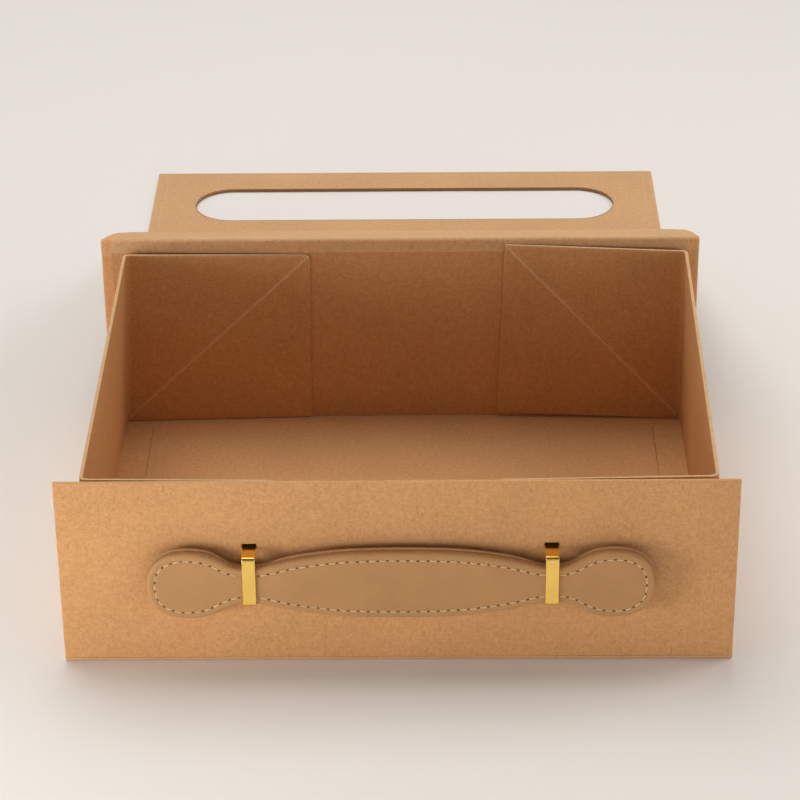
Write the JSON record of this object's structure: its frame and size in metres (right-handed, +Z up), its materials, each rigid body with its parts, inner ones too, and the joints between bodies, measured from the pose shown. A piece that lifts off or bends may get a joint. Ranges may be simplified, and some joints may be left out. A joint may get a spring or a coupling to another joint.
{
  "type": "collapsible gift box",
  "caption": "Open kraft board gift box with a folded card tray, a bowed lid lying back on paper hinges, a flap with a long window, and a stitched strap handle in brass clips.",
  "frame": {"origin": "centre of the tray's underside, on the surface that the box stands on", "axes": "+X to the right along the front, +Y from the front panel to the lid and flap at the back, +Z up"},
  "size_m": [0.33, 0.5935, 0.1136],
  "materials": {
    "kraft_board": "matt kraft paper over stiff board",
    "kraft_card": "matt kraft-faced card",
    "kraft_paper": "matt kraft paper",
    "strap_leather": "fine-grained imitation leather",
    "thread": "waxed thread",
    "clip_brass": "polished",
    "magnet_steel": "plain"
  },
  "bodies": {
    "tray": {"front_panel": "kraft_board", "base_panel": "kraft_board", "back_panel": "kraft_board", "front_fold_strip": "kraft_paper", "back_fold_strip": "kraft_paper", "tray_liner": "kraft_paper", "left_side": "kraft_card", "right_side": "kraft_card", "lid_hinge_strip": "kraft_paper", "handle_strap": "strap_leather", "handle_lining": "strap_leather", "handle_stitching": "thread", "left_clip": "clip_brass", "right_clip": "clip_brass", "front_magnets": "magnet_steel"},
    "lid": {"lid_panel": "kraft_board", "lid_liner": "kraft_paper", "flap_hinge_strip": "kraft_paper"},
    "flap": {"flap_panel": "kraft_board", "flap_liner": "kraft_paper", "flap_magnets": "magnet_steel"}
  },
  "joints": [
    {"name": "lid_hinge", "type": "hinge", "parent": "tray", "child": "lid", "pos_m": [0, 0.1244, 0.1124], "axis": [1, 0, 0], "range_deg": [0, 206.37], "deforming": ["lid_hinge_strip"]},
    {"name": "flap_hinge", "type": "hinge", "parent": "lid", "child": "flap", "pos_m": [0, 0.34795, 0.0016], "axis": [1, 0, 0], "range_deg": [0, 63.63], "deforming": ["flap_hinge_strip"]}
  ]
}
